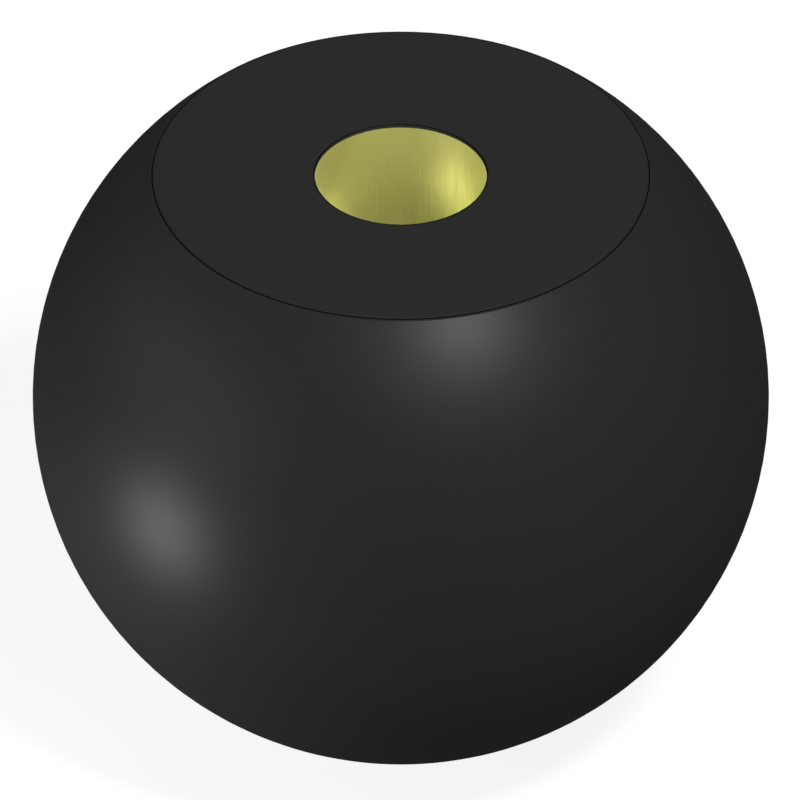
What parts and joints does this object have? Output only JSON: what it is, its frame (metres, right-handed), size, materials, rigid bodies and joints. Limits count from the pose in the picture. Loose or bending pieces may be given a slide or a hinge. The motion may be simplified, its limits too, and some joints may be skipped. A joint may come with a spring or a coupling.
{
  "type": "ball knob",
  "caption": "Black ball knob with a flat side and a blind hole in a metal insert, plain at its mouth and threaded below, for the end of a lever.",
  "frame": {"origin": "centre of the hole's mouth, on the flat face", "axes": "+Z along the hole's axis, out of its mouth, with the flat face up and the round end down; +X and +Y lie in the flat face, and no feature sets them apart"},
  "size_m": [0.035, 0.035, 0.0304],
  "materials": {
    "ball": "satin",
    "insert": "satin"
  },
  "bodies": {
    "root": {"ball": "ball", "threaded_insert": "insert"}
  },
  "joints": []
}
